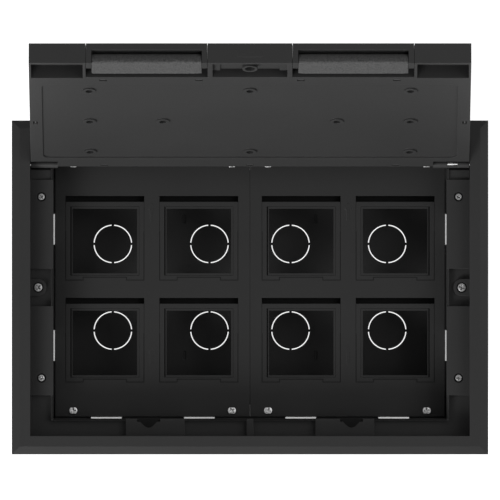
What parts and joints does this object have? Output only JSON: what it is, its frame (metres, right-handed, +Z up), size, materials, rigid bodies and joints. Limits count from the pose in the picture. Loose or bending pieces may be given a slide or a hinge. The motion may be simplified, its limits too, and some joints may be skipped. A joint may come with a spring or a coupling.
{
  "type": "floor socket box",
  "caption": "Flush floor box: deep tub under a bevelled trim frame, device plates with square module openings, and a hinged lid with cable flaps that leans back on its stop.",
  "frame": {"origin": "centre of the tub's underside", "axes": "+X along the lid hinge, +Y towards the hinge side, +Z up"},
  "size_m": [0.331, 0.2842, 0.2587],
  "materials": {
    "frame_moulding": "fine satin grain",
    "tub_moulding": "matt",
    "plate_moulding": "fine satin grain",
    "module_moulding": "satin",
    "lid_moulding": "fine satin grain",
    "foam": "open-cell foam",
    "zinc_steel": "zinc plated",
    "screw_steel": "zinc plated",
    "pin_steel": "bright",
    "cover_steel": "matt"
  },
  "bodies": {
    "box": {"base_tub": "tub_moulding", "device_plate_left": "plate_moulding", "device_plate_right": "plate_moulding", "frame_screws": "screw_steel", "module_frame_1": "module_moulding", "module_frame_2": "module_moulding", "module_frame_3": "module_moulding", "module_frame_4": "module_moulding", "module_frame_5": "module_moulding", "module_frame_6": "module_moulding", "module_frame_7": "module_moulding", "module_frame_8": "module_moulding", "module_insert_1": "module_moulding", "module_insert_2": "module_moulding", "module_insert_3": "module_moulding", "module_insert_4": "module_moulding", "module_insert_5": "module_moulding", "module_insert_6": "module_moulding", "module_insert_7": "module_moulding", "module_insert_8": "module_moulding", "plate_screws": "screw_steel", "rail_screws": "screw_steel", "support_rail_front": "zinc_steel", "support_rail_left": "zinc_steel", "support_rail_rear": "zinc_steel", "support_rail_right": "zinc_steel", "trim_frame": "frame_moulding"},
    "lid": {"lid_body": "lid_moulding", "lid_cover_plate": "cover_steel", "hinge_pin_left": "pin_steel", "flap_pins": "pin_steel", "release_spring": "pin_steel"},
    "release_pin": {"hinge_release_pin": "pin_steel"},
    "latch": {"latch_slider": "lid_moulding"},
    "flap_left": {"cable_flap_left": "lid_moulding", "foam_pad_left": "foam"},
    "flap_right": {"cable_flap_right": "lid_moulding", "foam_pad_right": "foam"},
    "clamp_screw_left": {"clamp_screw_left": "screw_steel"},
    "clamp_claw_left": {"clamp_claw_left": "zinc_steel"},
    "clamp_screw_right": {"clamp_screw_right": "screw_steel"},
    "clamp_claw_right": {"clamp_claw_right": "zinc_steel"}
  },
  "joints": [
    {"name": "lid_hinge", "type": "hinge", "parent": "box", "child": "lid", "pos_m": [0, 0.0856, 0.0833], "axis": [1, 0, 0], "range_deg": [0, 112.4]},
    {"name": "latch_slide", "type": "slide", "parent": "lid", "child": "latch", "axis": [0, 0.3811, 0.9245], "range_m": [0, 0.0035]},
    {"name": "release_pin_slide", "type": "slide", "parent": "lid", "child": "release_pin", "axis": [-1, 0, 0], "range_m": [0, 0.004], "stiffness_N_per_m": 300, "springref_m": -0.002, "deforming": ["release_spring"]},
    {"name": "cable_flap_left_hinge", "type": "hinge", "parent": "lid", "child": "flap_left", "pos_m": [-0.07115, 0.15769, 0.23248], "axis": [-1, 0, 0], "range_deg": [0, 90]},
    {"name": "clamp_swing_left", "type": "hinge", "parent": "box", "child": "clamp_screw_left", "pos_m": [-0.1473, 0, 0.05], "axis": [0, 0, 1], "range_deg": [0, 90]},
    {"name": "clamp_rise_left", "type": "slide", "parent": "clamp_screw_left", "child": "clamp_claw_left", "axis": [0, 0, 1], "range_m": [0, 0.034]},
    {"name": "cable_flap_right_hinge", "type": "hinge", "parent": "lid", "child": "flap_right", "pos_m": [0.07115, 0.15769, 0.23248], "axis": [-1, 0, 0], "range_deg": [0, 90]},
    {"name": "clamp_swing_right", "type": "hinge", "parent": "box", "child": "clamp_screw_right", "pos_m": [0.1473, 0, 0.05], "axis": [0, 0, -1], "range_deg": [0, 90]},
    {"name": "clamp_rise_right", "type": "slide", "parent": "clamp_screw_right", "child": "clamp_claw_right", "axis": [0, 0, 1], "range_m": [0, 0.034]}
  ]
}
